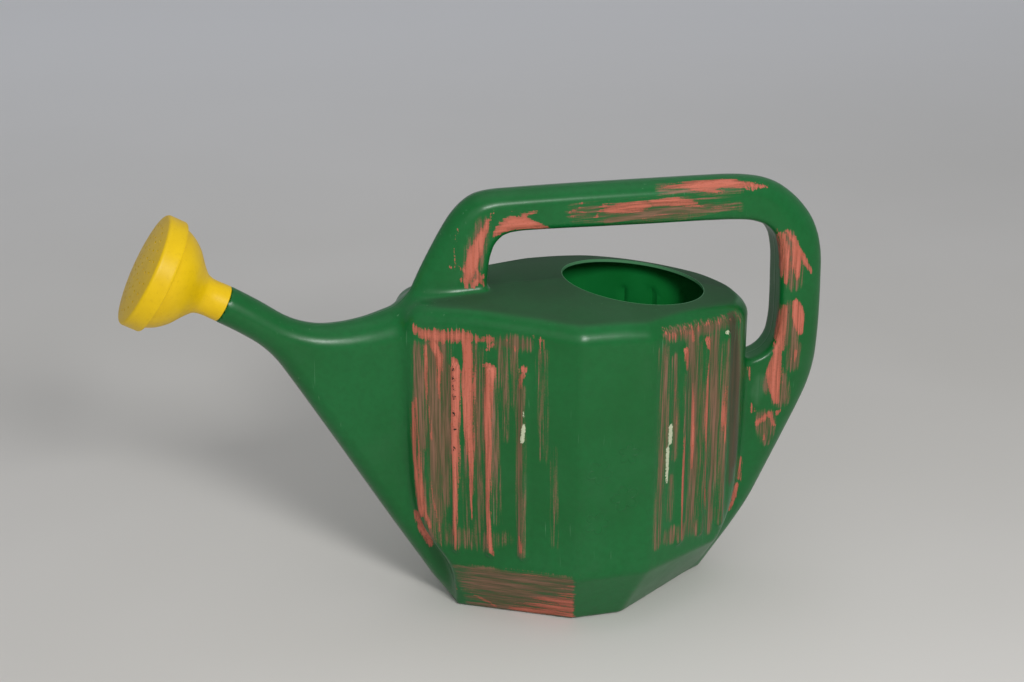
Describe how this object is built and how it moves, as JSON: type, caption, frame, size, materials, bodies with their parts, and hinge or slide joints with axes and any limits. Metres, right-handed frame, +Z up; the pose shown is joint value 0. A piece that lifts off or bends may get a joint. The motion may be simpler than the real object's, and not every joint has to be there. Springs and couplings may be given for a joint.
{
  "type": "watering can",
  "caption": "Blow-moulded plastic watering can with a looped hollow handle, a large fill opening, a finned tapering spout and a pull-off two-piece sprinkler rose.",
  "frame": {"origin": "middle of the object's footprint, on the ground", "axes": "+Z up, the spout and its rose point to -X, the handle is at +X, and the can is symmetric about the XZ plane"},
  "size_m": [0.4777, 0.155, 0.294],
  "materials": {
    "green_plastic": "satin moulded plastic with dry-brushed salmon and cream paint",
    "yellow_plastic": "satin moulded plastic"
  },
  "bodies": {
    "can": {"can": "green_plastic"},
    "rose_shell": {"rose_shell": "yellow_plastic"},
    "rose_cap": {"rose_cap": "yellow_plastic"}
  },
  "joints": [
    {"name": "rose_pull", "type": "slide", "parent": "can", "child": "rose_shell", "axis": [-0.866, 0, 0.5], "range_m": [0, 0.035]},
    {"name": "cap_pull", "type": "slide", "parent": "rose_shell", "child": "rose_cap", "axis": [-0.866, 0, 0.5], "range_m": [0, 0.02]}
  ]
}
